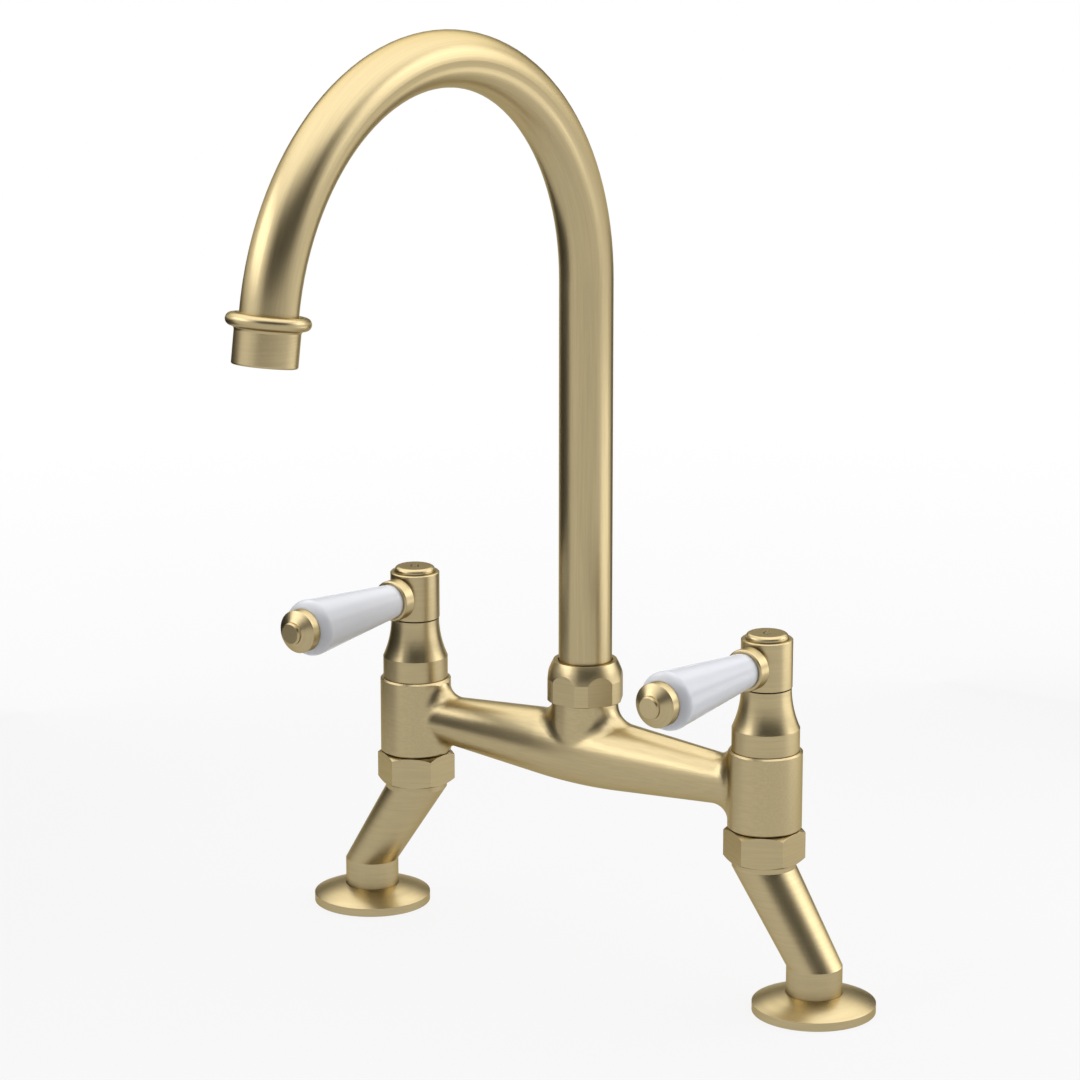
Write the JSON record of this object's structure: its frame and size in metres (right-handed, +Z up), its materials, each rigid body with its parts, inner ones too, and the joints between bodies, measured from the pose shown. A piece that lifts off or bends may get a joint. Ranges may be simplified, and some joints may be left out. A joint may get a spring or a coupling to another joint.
{
  "type": "bridge kitchen mixer tap",
  "caption": "Deck-mounted bridge kitchen mixer tap: cranked legs, a tapered bridge, ceramic levers on quarter-turn valves and a tall swivelling swan-neck spout, in satin brass.",
  "frame": {"origin": "on the deck, midway between the two inlet holes and under the spout's swivel axis", "axes": "+Z up, +X towards the cold side, -Y towards the user, where the spout and the shut levers point"},
  "size_m": [0.2784, 0.2365, 0.3947],
  "materials": {
    "satin_brass": "satin brushed",
    "plain_brass": "turned",
    "white_acetal": "matte",
    "black_rubber": "matte",
    "stainless_steel": "turned",
    "alumina": "lapped",
    "white_porcelain": "gloss"
  },
  "bodies": {
    "base": {"bridge_body": "satin_brass", "spout_nut": "satin_brass", "spout_glide_ring": "white_acetal", "hot_leg": "satin_brass", "hot_flange": "satin_brass", "hot_flange_seal": "black_rubber", "hot_union_nut": "satin_brass", "hot_union_ring": "plain_brass", "hot_union_washer": "black_rubber", "hot_cartridge": "plain_brass", "hot_cartridge_o_ring": "black_rubber", "hot_seat_seal": "black_rubber", "hot_fixed_disc": "alumina", "hot_shroud": "satin_brass", "cold_leg": "satin_brass", "cold_flange": "satin_brass", "cold_flange_seal": "black_rubber", "cold_union_nut": "satin_brass", "cold_union_ring": "plain_brass", "cold_union_washer": "black_rubber", "cold_cartridge": "plain_brass", "cold_cartridge_o_ring": "black_rubber", "cold_seat_seal": "black_rubber", "cold_fixed_disc": "alumina", "cold_shroud": "satin_brass"},
    "spout": {"spout_tube": "satin_brass", "spout_ferrule": "plain_brass", "spout_lower_o_ring": "black_rubber", "spout_upper_o_ring": "black_rubber", "spout_nozzle": "satin_brass", "aerator_housing": "white_acetal", "aerator_screen": "white_acetal", "aerator_seal": "black_rubber"},
    "hot_lever": {"hot_spindle": "plain_brass", "hot_spindle_o_ring": "black_rubber", "hot_circlip": "stainless_steel", "hot_moving_disc": "alumina", "hot_lever_hub": "satin_brass", "hot_hub_screw": "stainless_steel", "hot_index_cap": "satin_brass", "hot_lever_stud": "stainless_steel", "hot_lever_collar": "satin_brass", "hot_lever_grip": "white_porcelain", "hot_lever_end_cap": "satin_brass"},
    "cold_lever": {"cold_spindle": "plain_brass", "cold_spindle_o_ring": "black_rubber", "cold_circlip": "stainless_steel", "cold_moving_disc": "alumina", "cold_lever_hub": "satin_brass", "cold_hub_screw": "stainless_steel", "cold_index_cap": "satin_brass", "cold_lever_stud": "stainless_steel", "cold_lever_collar": "satin_brass", "cold_lever_grip": "white_porcelain", "cold_lever_end_cap": "satin_brass"}
  },
  "joints": [
    {"name": "spout_swivel", "type": "hinge", "parent": "base", "child": "spout", "pos_m": [0, 0, 0.12], "axis": [0, 0, 1], "continuous": true},
    {"name": "hot_lever_turn", "type": "hinge", "parent": "base", "child": "hot_lever", "pos_m": [-0.0893, 0, 0.1415], "axis": [0, 0, 1], "range_deg": [-90, 0]},
    {"name": "cold_lever_turn", "type": "hinge", "parent": "base", "child": "cold_lever", "pos_m": [0.0893, 0, 0.1415], "axis": [0, 0, 1], "range_deg": [0, 90]}
  ]
}
